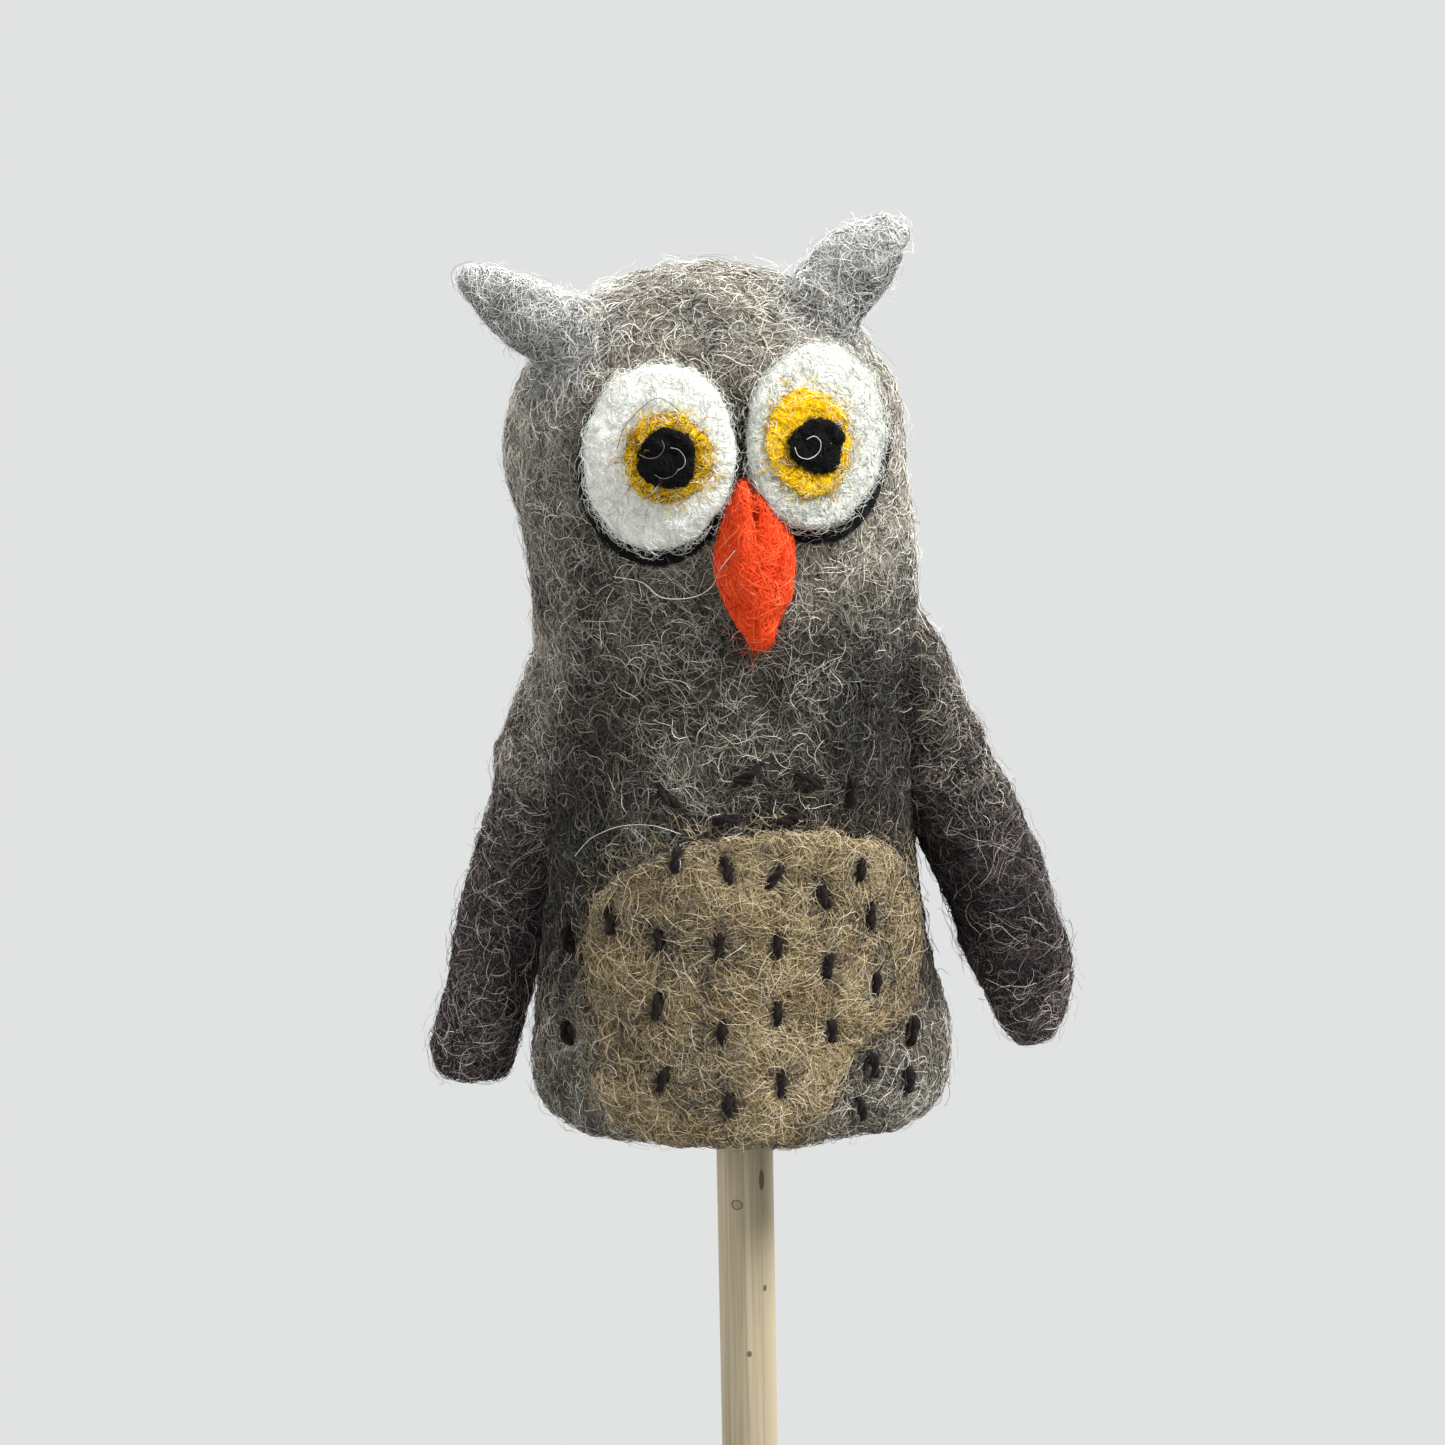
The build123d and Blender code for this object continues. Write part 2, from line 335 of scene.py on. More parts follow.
class Surface:
    """A skin that fibres can be laid on."""

    def __init__(self, obj):
        mesh = obj.data
        mesh.calc_loop_triangles()
        corners = np.empty(len(mesh.loop_triangles) * 3, np.int64)
        mesh.loop_triangles.foreach_get("vertices", corners)
        self.tris = corners.reshape(-1, 3)
        self.points = points_of(mesh)
        self.normals = normals_of(mesh)
        a, b, c = (self.points[self.tris[:, i]] for i in range(3))
        self.centres = (a + b + c) / 3
        self.areas = np.linalg.norm(np.cross(b - a, c - a), axis=1) / 2
        self.face_normals = self.normals[self.tris].mean(1)
        self.face_normals /= np.linalg.norm(self.face_normals, axis=1)[:, None]
        self.tree = BVHTree.FromPolygons(self.points.tolist(), self.tris.tolist())

    def sample(self, rng, count, weight=None):
        chance = self.areas * (1.0 if weight is None else weight(self.centres, self.face_normals))
        picked = rng.choice(len(self.tris), count, p=chance / chance.sum())
        u, v = rng.random(count), rng.random(count)
        flip = u + v > 1
        u[flip], v[flip] = 1 - u[flip], 1 - v[flip]
        a, b, c = (self.points[self.tris[picked, i]] for i in range(3))
        return a + (b - a) * u[:, None] + (c - a) * v[:, None], self.face_normals[picked]

    def settle(self, points):
        """Nearest points on the skin, and the smooth normals there."""
        near = np.empty_like(points)
        index = np.empty(len(points), np.int64)
        find = self.tree.find_nearest
        for i, p in enumerate(points):
            location, _, face, _ = find(p)
            near[i] = location
            index[i] = face
        return near, self.face_normals[index]


def unit(v):
    return v / np.maximum(np.linalg.norm(v, axis=-1, keepdims=True), 1e-12)


def lay_fibres(surface, rng, count, length, curl, lift, steps=9, weight=None, grain=None, spread=math.pi,
               loose=0.0):
    """Fibre centrelines (count, steps + 1, 3) that wander over a skin.

    curl is the tightest curl's radius, lift the greatest height above the skin, grain a preferred
    direction that fibres keep within spread of, and loose how far the free end stands off.
    """
    here, normal = surface.sample(rng, count, weight)
    if grain is None:
        heading = rng.normal(size=(count, 3))
    else:
        heading = np.tile(np.asarray(grain, float), (count, 1))
    heading = unit(heading - normal * (heading * normal).sum(1)[:, None])
    turn = rng.uniform(-spread, spread, count)
    heading = heading * np.cos(turn)[:, None] + np.cross(normal, heading) * np.sin(turn)[:, None]
    stride = length * rng.uniform(0.6, 1.4, count) / steps
    steady = rng.normal(0, 0.45, count) / curl
    wave = rng.uniform(0.3, 1.0, count) / curl
    phase = rng.uniform(0, 2 * math.pi, count)
    pitch = rng.uniform(0.5, 1.1, count)
    top = lift * rng.uniform(0.15, 1.0, count)
    free = loose * rng.random(count) ** 2
    line = np.empty((count, steps + 1, 3))
    for k in range(steps + 1):
        share = k / steps
        height = top * math.sin(math.pi * min(1.0, share * 1.15)) + free * share**1.5 - 0.06 * MM
        line[:, k] = here + normal * height[:, None]
        if k == steps:
            break
        bend = (steady + wave * np.sin(phase + pitch * k)) * stride
        heading = heading * np.cos(bend)[:, None] + np.cross(normal, heading) * np.sin(bend)[:, None]
        here, normal = surface.settle(here + heading * stride[:, None])
        heading = unit(heading - normal * (heading * normal).sum(1)[:, None])
    return line


def tubes(name, lines, widths, shades, materials, sides=3):
    """Tapering tubes along the lines, with one material index each."""
    count, rings, _ = lines.shape
    along = unit(np.gradient(lines, axis=1))
    side = unit(np.cross(along, np.array([0.31, 0.52, 0.8])))
    up = np.cross(side, along)
    taper = np.interp(np.arange(rings), [0, 1, rings - 2, rings - 1], [0.35, 1, 0.85, 0.2])
    radius = (widths[:, None] / 2) * taper[None, :]
    ring = []
    for corner in range(sides):
        angle = 2 * math.pi * corner / sides
        ring.append(lines + radius[..., None] * (side * math.cos(angle) + up * math.sin(angle)))
    verts = np.stack(ring, 2).reshape(-1, 3)
    base = (np.arange(count) * rings * sides)[:, None, None]
    step = (np.arange(rings - 1) * sides)[None, :, None]
    corner = np.arange(sides)[None, None, :]
    after = (corner + 1) % sides
    quads = np.stack([base + step + corner, base + step + after, base + step + sides + after,
                      base + step + sides + corner], -1).reshape(-1, 4)
    start = base[:, 0, 0]
    last = start + (rings - 1) * sides
    caps = np.concatenate([np.stack([start + i for i in reversed(range(sides))], 1),
                           np.stack([last + i for i in range(sides)], 1)])
    corners = np.concatenate([quads.ravel(), caps.ravel()])
    starts = np.concatenate([np.arange(len(quads)) * 4, quads.size + np.arange(len(caps)) * sides])
    mesh = bpy.data.meshes.new(name)
    mesh.vertices.add(len(verts))
    mesh.vertices.foreach_set("co", verts.ravel())
    mesh.loops.add(len(corners))
    mesh.loops.foreach_set("vertex_index", corners.astype(np.int32))
    mesh.polygons.add(len(starts))
    mesh.polygons.foreach_set("loop_start", starts.astype(np.int32))
    per_quad = np.repeat(shades, (rings - 1) * sides)
    mesh.polygons.foreach_set("material_index", np.concatenate([per_quad, shades, shades]).astype(np.int32))
    mesh.update(calc_edges=True)
    mesh.shade_smooth()
    for material in materials:
        mesh.materials.append(material)
    return link(name, mesh)


def pick_shades(rng, tone, levels, spread):
    """A shade index per fibre round a tone in 0 to 1."""
    value = tone + rng.normal(0, spread, len(tone))
    return np.clip(np.round(value * (levels - 1)), 0, levels - 1).astype(int)


def seeded(name):
    """A random source of its own for each piece, so that one piece's draws never shift another's."""
    return np.random.default_rng(list(name.encode()))


# The short dense wool next to the felt
MAT = dict(length=2.6 * MM, curl=0.7 * MM, lift=0.25 * MM, width=0.15 * MM, steps=4, spread=0.16)


def felt_coat(name, surface, count, family, tone, attach, slot, width=0.11 * MM, spread=0.22, **how):
    """Lays fibres and splits them into pieces small enough to keep whole."""
    rng = seeded(name)
    count = int(count * FULL)
    lines = lay_fibres(surface, rng, count, **how)
    widths = width * rng.uniform(0.55, 1.25, count)
    middle = lines[:, lines.shape[1] // 2]
    level = tone(middle) if callable(tone) else np.full(count, tone)
    shades = pick_shades(rng, level, len(SHADES[family]), spread)
    widths *= np.interp(shades, [0, len(SHADES[family]) - 1], [1.15, 0.72])  # the palest wool is the finest
    most = int(MOST_FACES / ((lines.shape[1] - 1) * 6 + 2))
    for i, first in enumerate(range(0, count, most)):
        part = slice(first, first + most)
        piece = tubes(f"{name}_{i}", lines[part], widths[part], shades[part], fibre_materials(family))
        attach(piece)


def rides(body):
    return lambda piece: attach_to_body(piece, body)


def bends(a, b, start, end):
    return lambda piece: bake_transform(piece)


def felt_form(name, nodes, ground, voxel, smooth, grow, lumps, blobs=(), tone=None, offset=0.0):
    """A lumpy felt form in the place of some CAD nodes."""
    bm = node_mesh(*nodes)
    for blob in blobs:
        add_blob(bm, *blob)
    form = remeshed(name, bm, voxel, smooth, grow)
    lumpy(form, lumps, offset)
    if tone:
        store(form, "tone", tone(points_of(form.data)))
        look = felt_material(f"{name}_felt", *ground, "tone", TONED_FELT_SHEEN)
    else:
        look = felt_material(f"{name}_felt", *ground)
    form.data.materials.append(look)
    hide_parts(*nodes)
    return form


# -------- body and head


def height_of(p):
    """Heights above the hem in millimetres."""
    return (p[:, 2] - HEM_Z) / MM


def fade(value, start, end):
    """0 at start and before it, 1 at end and past it."""
    return np.clip((value - start) / (end - start), 0, 1)


def drift(p, size, amount):
    """Smooth random variation of a given patch size."""
    return amount * np.array([noise.noise(Vector(q) / size) for q in p])


def shoulder(name, inward, up, radii, tilt):
    """A soft mound of felt over a wing's root."""
    place = JOINT_PLACES[name]
    side = 1 if place.x > 0 else -1
    centre = place + Vector((-side * inward, 0, up))
    return centre, radii, side * tilt


SHOULDERS = [
    shoulder("wing_raise_left", 1.3 * MM, 3.0 * MM, (5.7 * MM, 7.6 * MM, 11.0 * MM), math.radians(-23)),
    shoulder("wing_raise_right", 1.9 * MM, 3.6 * MM, (4.3 * MM, 7.4 * MM, 11.0 * MM), math.radians(-13)),
]


# (height in mm, tone) up the body and head
BODY_LEVELS = [(0, 0.64), (8, 0.55), (30, 0.38), (45, 0.36), (56, 0.44), (72, 0.55), (90, 0.68)]


def body_tone(p):
    """How pale the grey wool is at points of the body and head, from 0 to 1.

    It is palest on the crown and, as painted light, on the head's sides and a little towards +X where the key
    light falls.
    It is darkest in the creases beside the wings, where painted shade lies over darker wool.
    """
    height = height_of(p)
    across = p[:, 0] / MM
    out = np.abs(across + 1)
    on_left = across > 0
    # painted light: a little paler towards +X, the side the key light falls on
    tone = np.interp(height, *zip(*BODY_LEVELS)) + 0.04 * np.clip(across / 20, -1, 1)
    # the shoulder mounds: darker on the +X side, partly painted shade beside the wing root and partly darker
    # wool, and paler on the -X side
    mound = fade(out, 15, 19) * fade(height, 34, 40) * fade(height, 58, 52)
    tone = tone + np.where(on_left, -0.12, 0.32) * mound
    # painted light: the head's sides are paler, most on the +X side, for the light round the head's edges
    tone = tone + np.where(on_left, 0.3, 0.18) * np.clip(out / 20, 0, 1) ** 3 * fade(height, 54, 68)
    # painted shade in the creases beside the wings, deepest on the +X side, over wool that is darker there
    # too
    crease_top = np.where(on_left, 52, 44)
    crease_shade_and_wool = fade(out, 9, 14) * fade(height, 10, 18) * fade(height, crease_top, crease_top - 10)
    crease_shade_and_wool = crease_shade_and_wool * (1 - fade(out, 18, 21) * (height > 36))
    tone = tone - np.where(on_left, 0.75, 0.36) * crease_shade_and_wool
    return np.clip(tone + drift(p, 11 * MM, 0.2) + drift(p, 4 * MM, 0.16), 0, 1)


# Ovals of the front that the patch and the eyes hide: x, height, half width and half height in mm
COVERED = [(1.0, 18.0, 13.0, 13.0), (8.5, 73.0, 5.6, 7.6), (-7.5, 71.6, 6.2, 7.8)]


def outer_side(centres, normals):
    """1 on the outside of the body and head, and 0 in the finger pocket."""
    axis = np.stack([np.full(len(centres), NECK.x * 0.5), np.zeros(len(centres)), centres[:, 2]], 1)
    outward = ((centres - axis) * normals).sum(1)
    crown = normals[:, 2] > 0.5
    inner_top = centres[:, 2] < NECK.z + 25 * MM
    shown = (outward > 0) | (crown & ~inner_top)
    for x, height, half_width, half_height in COVERED:
        across = (centres[:, 0] / MM - x) / half_width
        up = (height_of(centres) - height) / half_height
        shown &= (across**2 + up**2 > 1) | (centres[:, 1] > 0)
    return shown * 1.0


def cool_patches(centres, normals):
    """More of the cooler grey wool in some places than in others, and most on the right of the front."""
    face = 0.5 * (centres[:, 1] < 0) * (centres[:, 0] < -3 * MM)
    return outer_side(centres, normals) * np.clip(0.1 + face + drift(centres, 9 * MM, 2.2), 0.02, 1)


bend_neck = bends("torso", "head", *NECK_BEND)


def islands(node):
    """The separate solids of a CAD node, as arrays of points."""
    bm = node_mesh(node)
    bmesh.ops.remove_doubles(bm, verts=bm.verts, dist=1e-6)
    seen = set()
    found = []
    for first in bm.verts:
        if first in seen:
            continue
        seen.add(first)
        queue, group = [first], []
        while queue:
            v = queue.pop()
            group.append(v.co[:])
            for edge in v.link_edges:
                other = edge.other_vert(v)
                if other not in seen:
                    seen.add(other)
                    queue.append(other)
        found.append(np.array(group))
    bm.free()
    return found


BODY_HALF_WIDTH, BODY_HALF_DEPTH = 21.0, 17.6  # mm, of the body's oval section at the stitches


def stitch_frames(node):
    """Each stitch's middle, the way it runs and the way out of the felt."""
    frames = []
    for points in islands(node):
        middle = (points.min(0) + points.max(0)) / 2
        outward = unit(np.array([middle[0] / BODY_HALF_WIDTH**2, middle[1] / BODY_HALF_DEPTH**2, 0.0]))
        flat = points - middle
        flat = flat - outward * (flat @ outward)[:, None]
        along = np.linalg.svd(flat, full_matrices=False)[2][0]
        frames.append((middle, unit(along), outward))
    return frames


STITCHES = {node: stitch_frames(node) for node in ("patch_stitches", "chest_stitches", "side_stitches")}


def dimple(obj, nodes, depth, radius):
    """Pulls the felt in where thread is sewn through it."""
    co = points_of(obj.data)
    for node in nodes:
        for middle, along, outward in STITCHES[node]:
            d = co - middle
            run = d @ along
            across = np.sqrt(np.maximum((d * d).sum(1) - run**2, 0))
            reach = np.exp(-((run / (1.6 * radius)) ** 2) - (across / radius) ** 2)
            co -= outward * (depth * reach)[:, None]
    move_points(obj, co)


def make_skin():
    """One continuous felt skin over body and head, with the wing and ear roots filled in."""
    ear_roots = [(JOINT_PLACES[f"ear_flex_{side}"], (4.0 * MM,) * 3, 0.0) for side in SIDES]
    lumps = [(9 * MM, 0.45 * MM), (3.2 * MM, 0.22 * MM), (1.3 * MM, 0.1 * MM)]
    skin = felt_form("felt_skin", ("body_shell", "head_shell"), ground_of("grey"), 0.62 * MM, 10,
                     0.22 * MM, lumps, SHOULDERS + ear_roots, body_tone, -0.1 * MM)
    dimple(skin, ("chest_stitches", "side_stitches"), 0.8 * MM, 0.8 * MM)
    surface = Surface(skin)
    felt_coat("body_mat", surface, 20000, "grey", lambda p: body_tone(p) - 0.08, bend_neck, "grey_felt",
              weight=outer_side, **MAT)
    felt_coat("body_wool", surface, 21500, "grey", body_tone, bend_neck, "grey_felt", weight=outer_side,
              length=4.2 * MM, curl=0.8 * MM, lift=0.5 * MM, steps=8, width=0.1 * MM, spread=0.3)
    felt_coat("body_cool", surface, 3400, "cool", lambda p: body_tone(p) + 0.12, bend_neck, "grey_felt",
              weight=cool_patches, length=4.2 * MM, curl=0.8 * MM, lift=0.55 * MM, steps=8, width=0.09 * MM)
    felt_coat("body_strays", surface, 2800, "grey", lambda p: body_tone(p) + 0.25, bend_neck, "grey_felt",
              weight=outer_side, length=5.2 * MM, curl=1.3 * MM, lift=0.8 * MM, loose=1.8 * MM,
              width=0.06 * MM, steps=7)
    bend_neck(skin)
    FRONT.append(surface)
    return surface


def make_stuffing():
    """The wool wadding that fills the head above the finger pocket."""
    wad = felt_form("stuffing", ("head_stuffing",), ground_of("stuffing"), 0.8 * MM, 8,
                    -0.1 * MM, [(5 * MM, 0.5 * MM), (2 * MM, 0.25 * MM)])
    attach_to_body(wad, "head")


head_surface = make_skin()
make_stuffing()


# -------- wings and ears


# way: the wing's own direction. levels: its tone at WING_HEIGHTS. root: half sizes of the root's filling.
# bulge: mm along X of the filling below the root. top: the least tone of the grey wool on its top
WINGS = {
    "left": {
        "way": Vector((0.43, 0, -0.9)),
        "levels": [0.7, 0.56, 0.24, 0.25, 0.36, 0.45],
        "root": (4.8 * MM, 5.6 * MM, 6.0 * MM),
        "bulge": 1.4,
        "top": 0.2,
    },
    "right": {
        "way": Vector((-0.24, 0, -0.97)),
        "levels": [0.5, 0.46, 0.38, 0.46, 0.6, 0.65],
        "root": (3.3 * MM, 5.6 * MM, 6.0 * MM),
        "bulge": -1.4,
        "top": 0.32,
    },
}
WING_HEIGHTS = [3, 9, 20, 30, 38, 44]  # mm above the hem


def make_wing(side):
    """A felted roll, dark at mid length, whose grey top runs into the shoulder."""
    facts = WINGS[side]
    root = JOINT_PLACES[f"wing_raise_{side}"]
    reach = facts["way"] * WING_BEND_REACH * MM
    bend = bends("torso", f"wing_{side}", root - reach, root + reach)

    def tone(p):
        level = np.interp(height_of(p), WING_HEIGHTS, facts["levels"])
        return np.clip(level + drift(p, 6 * MM, 0.2), 0, 1)

    def near_root(centres, normals):
        return 0.05 + fade(height_of(centres), 25, 37) ** 1.5

    def top_tone(p):
        return body_tone(p * (1, 0, 1)) * 0.4 + facts["top"]

    below_root = root + Vector((facts["bulge"], 0, -5.5)) * MM
    blobs = [(root, facts["root"], 0.0), (below_root, (4.4 * MM, 5.0 * MM, 6.0 * MM), 0.0)]
    lumps = [(7 * MM, 0.7 * MM), (2.6 * MM, 0.3 * MM), (1.2 * MM, 0.1 * MM)]
    skin = felt_form(f"wing_{side}_form", (f"wing_{side}",), ground_of("wing"), 0.5 * MM, 14,
                     0.3 * MM, lumps, blobs, tone)
    surface = Surface(skin)
    felt_coat(f"wing_{side}_mat", surface, 4500, "wing", lambda p: tone(p) - 0.05, bend, "wing_felt", **MAT)
    felt_coat(f"wing_{side}_wool", surface, 6200, "wing", tone, bend, "wing_felt", length=4.0 * MM,
              curl=0.8 * MM, lift=0.45 * MM, steps=6, width=0.1 * MM, spread=0.28)
    felt_coat(f"wing_{side}_top", surface, 2200, "grey", top_tone, bend, "grey_felt", weight=near_root,
              length=2.8 * MM, curl=0.8 * MM, lift=0.45 * MM, steps=4, width=0.17 * MM)
    felt_coat(f"wing_{side}_grey", surface, 2300, "grey", lambda p: top_tone(p) + 0.08, bend, "grey_felt",
              weight=near_root, length=4.0 * MM, curl=0.9 * MM, lift=0.65 * MM, steps=7, width=0.1 * MM,
              spread=0.3)
    felt_coat(f"wing_{side}_strays", surface, 900, "wing", lambda p: tone(p) + 0.35, bend, "wing_felt",
              length=5.0 * MM, curl=1.4 * MM, lift=0.8 * MM, loose=1.8 * MM, width=0.06 * MM)
    bend(skin)


TIP_STARTS, TIP_LENGTH = 0.55, 0.45  # where an ear narrows, as shares of its length
TIP_NARROWS = 0.36  # how much of its width it loses by the tip
EAR_LEANS = {"left": 1.5 * MM, "right": 0.0}


def narrow_tip(ear, root, way, lean):
    """Draws the far part of an ear in towards its own middle line, and leans it towards +X."""
    co = points_of(ear.data)
    out = (co - root) @ way
    middle = co[out > 0.75 * out.max()].mean(0)
    line = unit(middle - root)
    out = (co - root) @ line
    off = co - root - out[:, None] * line
    far = np.clip(out / out.max(), 0, 1)
    share = 1 - TIP_NARROWS * np.clip((far - TIP_STARTS) / TIP_LENGTH, 0, 1) ** 1.5
    co = root + out[:, None] * line + off * share[:, None]
    co[:, 0] += lean * far**2
    move_points(ear, co)


def make_ear(side):
    """A pale felted roll, paler towards its tip and upper edge."""
    root = JOINT_PLACES[f"ear_flex_{side}"]
    low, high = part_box(f"ear_{side}")
    tip = Vector((high.x if side == "left" else low.x, root.y, high.z))
    way = (tip - root).normalized()
    bend = bends("head", f"ear_{side}", root, root + way * EAR_BEND_LENGTH * MM)

    def tone(p):
        out = ((p - np.array(root)) @ np.array(way)) / (tip - root).length
        upward = (p[:, 2] - (root.z + out * (tip.z - root.z))) / (3 * MM)
        return np.clip(0.46 + 0.24 * out + 0.2 * upward + drift(p, 4 * MM, 0.22), 0, 1)

    blob = (root + way * 1.2 * MM, (3.5 * MM, 3.4 * MM, 3.5 * MM), 0.0)
    skin = felt_form(f"ear_{side}_form", (f"ear_{side}",), ground_of("ear"), 0.4 * MM, 8,
                     0.35 * MM,
                     [(4 * MM, 0.45 * MM), (1.6 * MM, 0.2 * MM)], [blob], tone)
    narrow_tip(skin, np.array(root), np.array(way), EAR_LEANS[side])
    surface = Surface(skin)
    felt_coat(f"ear_{side}_wool", surface, 2400, "ear", tone, bend, "ear_felt", length=3.4 * MM,
              curl=1.0 * MM, lift=0.4 * MM, steps=7, width=0.1 * MM)
    felt_coat(f"ear_{side}_strays", surface, 420, "ear", 0.75, bend, "ear_felt", length=4.2 * MM,
              curl=1.4 * MM, lift=0.7 * MM, loose=1.6 * MM, width=0.055 * MM)

    def round_root(centres, normals):
        middle = np.array(root - Vector((0, 0, 1.5 * MM)))
        gap = np.linalg.norm(centres - middle, axis=1) / (4.6 * MM)
        return np.exp(-(gap**4)) * (normals[:, 2] > -0.2)

    felt_coat(f"ear_{side}_roots", head_surface, 700, "ear", 0.5, rides("head"), "ear_felt",
              weight=round_root,
              length=4.0 * MM, curl=1.1 * MM, lift=0.7 * MM, steps=8, width=0.1 * MM)
    bend(skin)


for side in SIDES:
    make_wing(side)
    make_ear(side)


# -------- eyes and beak


def disc_edge(centres, normals):
    """Most of the rim of a disc that faces the front, and a little of its face."""
    return 0.25 + np.clip(1 + normals[:, 1], 0, 1) ** 2 * 4


def round_node(node, radius, width):
    """A weight that is highest on an oval ring round a CAD node, in shares of its half size."""
    low, high = (np.array(corner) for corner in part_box(node))
    middle, half = (low + high) / 2, (high - low) / 2

    def weight(centres, normals):
        off = np.hypot((centres[:, 0] - middle[0]) / half[0], (centres[:, 2] - middle[2]) / half[2])
        return np.exp(-(((off - radius) / width) ** 2)) * (normals[:, 1] < 0)

    return weight


def forward(form, distance):
    """Moves a form towards the owl's front."""
    form.data.transform(Matrix.Translation((0, -distance, 0)))


# dim: how much darker the white's ground is; painted shade on the left eye, which the key light falls on
# more, and painted light on the right eye.
# white and yellow: tones of their wools, the white one painted the same way. hairs: how many black fibres
# stray onto the iris
EYES = {
    "left": {"dim": 12, "white": 0.4, "yellow": 0.72, "hairs": 60},
    "right": {"dim": -10, "white": 0.8, "yellow": 0.5, "hairs": 130},
}
RIGHT_PUPIL_SIZE = 0.93  # against the CAD pupil
IRIS_FORWARD = 0.2 * MM
PUPIL_FORWARD = 0.45 * MM


def make_rim(side, on_head):
    rim = felt_form(f"rim_{side}", (f"eye_rim_{side}",), ground_of("black"), 0.3 * MM, 6,
                    0.2 * MM,
                    [(2 * MM, 0.15 * MM), (0.8 * MM, 0.08 * MM)])
    felt_coat(f"rim_{side}_wool", Surface(rim), 800, "black", 0.3, on_head, "rim_felt", length=2.2 * MM,
              curl=0.7 * MM, lift=0.25 * MM, width=0.08 * MM, steps=6)
    return rim


def make_white(side, on_head):
    """The white disc, fuzzy at its edge, with yellow wool straying onto it round the iris."""
    facts = EYES[side]
    lumps = [(3.4 * MM, 0.25 * MM), (1.4 * MM, 0.12 * MM), (0.7 * MM, 0.07 * MM)]
    # the white's ground and wool take painted shade on the left eye and painted light on the right, from EYES
    disc = felt_form(f"white_{side}", (f"eye_white_{side}",),
                     ground_of("white", facts["dim"]),
                     0.3 * MM, 60, 0.45 * MM, lumps)
    surface = Surface(disc)
    felt_coat(f"white_{side}_wool", surface, 2800, "white", facts["white"], on_head, "eye_white_felt",
              length=2.2 * MM, curl=0.6 * MM, lift=0.3 * MM, width=0.075 * MM, spread=0.25, steps=7)
    felt_coat(f"white_{side}_fuzz", surface, 1700, "white", 0.5, on_head, "eye_white_felt", length=2.6 * MM,
              curl=0.8 * MM, lift=0.7 * MM, loose=1.5 * MM, width=0.055 * MM, steps=6, weight=disc_edge)
    felt_coat(f"iris_{side}_feather", surface, 280, "yellow", 0.5, on_head, "iris_wool", length=1.7 * MM,
              curl=0.7 * MM, lift=0.45 * MM, width=0.07 * MM, steps=6,
              weight=round_node(f"eye_iris_{side}", 1.02, 0.12))
    FRONT.append(surface)
    return disc


def make_iris(side, on_head):
    facts = EYES[side]
    iris = felt_form(f"iris_{side}", (f"eye_iris_{side}",), ground_of("yellow"), 0.24 * MM, 6,
                     0.25 * MM, [(2.2 * MM, 0.3 * MM), (1.0 * MM, 0.15 * MM)])
    forward(iris, IRIS_FORWARD)
    surface = Surface(iris)
    felt_coat(f"iris_{side}_wool", surface, 1000, "yellow", facts["yellow"], on_head, "iris_wool",
              length=2.4 * MM, curl=0.6 * MM, lift=0.4 * MM, width=0.08 * MM, spread=0.3, steps=7)
    felt_coat(f"iris_{side}_hairs", surface, 50, "wing", 0.3, on_head, "iris_wool", length=3.0 * MM,
              curl=0.8 * MM, lift=0.5 * MM, loose=0.6 * MM, width=0.045 * MM)
    felt_coat(f"iris_{side}_white", surface, 150, "white", 0.4, on_head, "eye_white_felt", length=1.8 * MM,
              curl=0.7 * MM, lift=0.5 * MM, width=0.06 * MM, steps=6,
              weight=round_node(f"eye_iris_{side}", 1.0, 0.12))
    felt_coat(f"pupil_{side}_feather", surface, facts["hairs"], "black", 0.4, on_head, "pupil_wool",
              length=1.7 * MM, curl=0.6 * MM, lift=0.5 * MM, width=0.065 * MM, steps=6,
              weight=round_node(f"eye_pupil_{side}", 1.1, 0.2))
    return iris


def make_pupil(side, on_head):
    pupil = felt_form(f"pupil_{side}", (f"eye_pupil_{side}",), ground_of("black"), 0.22 * MM,
                      10,
                      0.1 * MM, [(1.6 * MM, 0.4 * MM), (0.8 * MM, 0.2 * MM)])
    forward(pupil, PUPIL_FORWARD)
    if side == "right":
        middle = sum(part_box("eye_pupil_right"), Vector()) / 2
        shrink = Matrix.Diagonal((RIGHT_PUPIL_SIZE, 1, RIGHT_PUPIL_SIZE, 1))
        pupil.data.transform(Matrix.Translation(middle) @ shrink @ Matrix.Translation(-middle))
    surface = Surface(pupil)
    felt_coat(f"pupil_{side}_wool", surface, 550, "black", 0.25, on_head, "pupil_wool", length=1.9 * MM,
              curl=0.6 * MM, lift=0.3 * MM, width=0.075 * MM, steps=7)
    FRONT.append(surface)
    return pupil


def make_eye(side):
    """One eye, from its black rim forward to its pupil."""
    on_head = rides("head")
    forms = [make(side, on_head) for make in (make_rim, make_white, make_iris, make_pupil)]
    for form in forms:
        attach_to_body(form, "head")


BEAK_CLEFT = [(61.5, 2.0), (64.0, 2.1), (66.0, 2.0), (67.5, 1.9), (69.0, 1.8)]  # (height, x) in mm
CLEFT_DEPTH = [(60.5, 0.0), (63.5, 0.5), (66.5, 1.5), (68.5, 1.2)]  # (height, depth) in mm
CLEFT_HALF_WIDTH = 0.45  # mm
BEAK_TIP = np.array([2.1 * MM, -17.5 * MM, HEM_Z + 54.0 * MM])


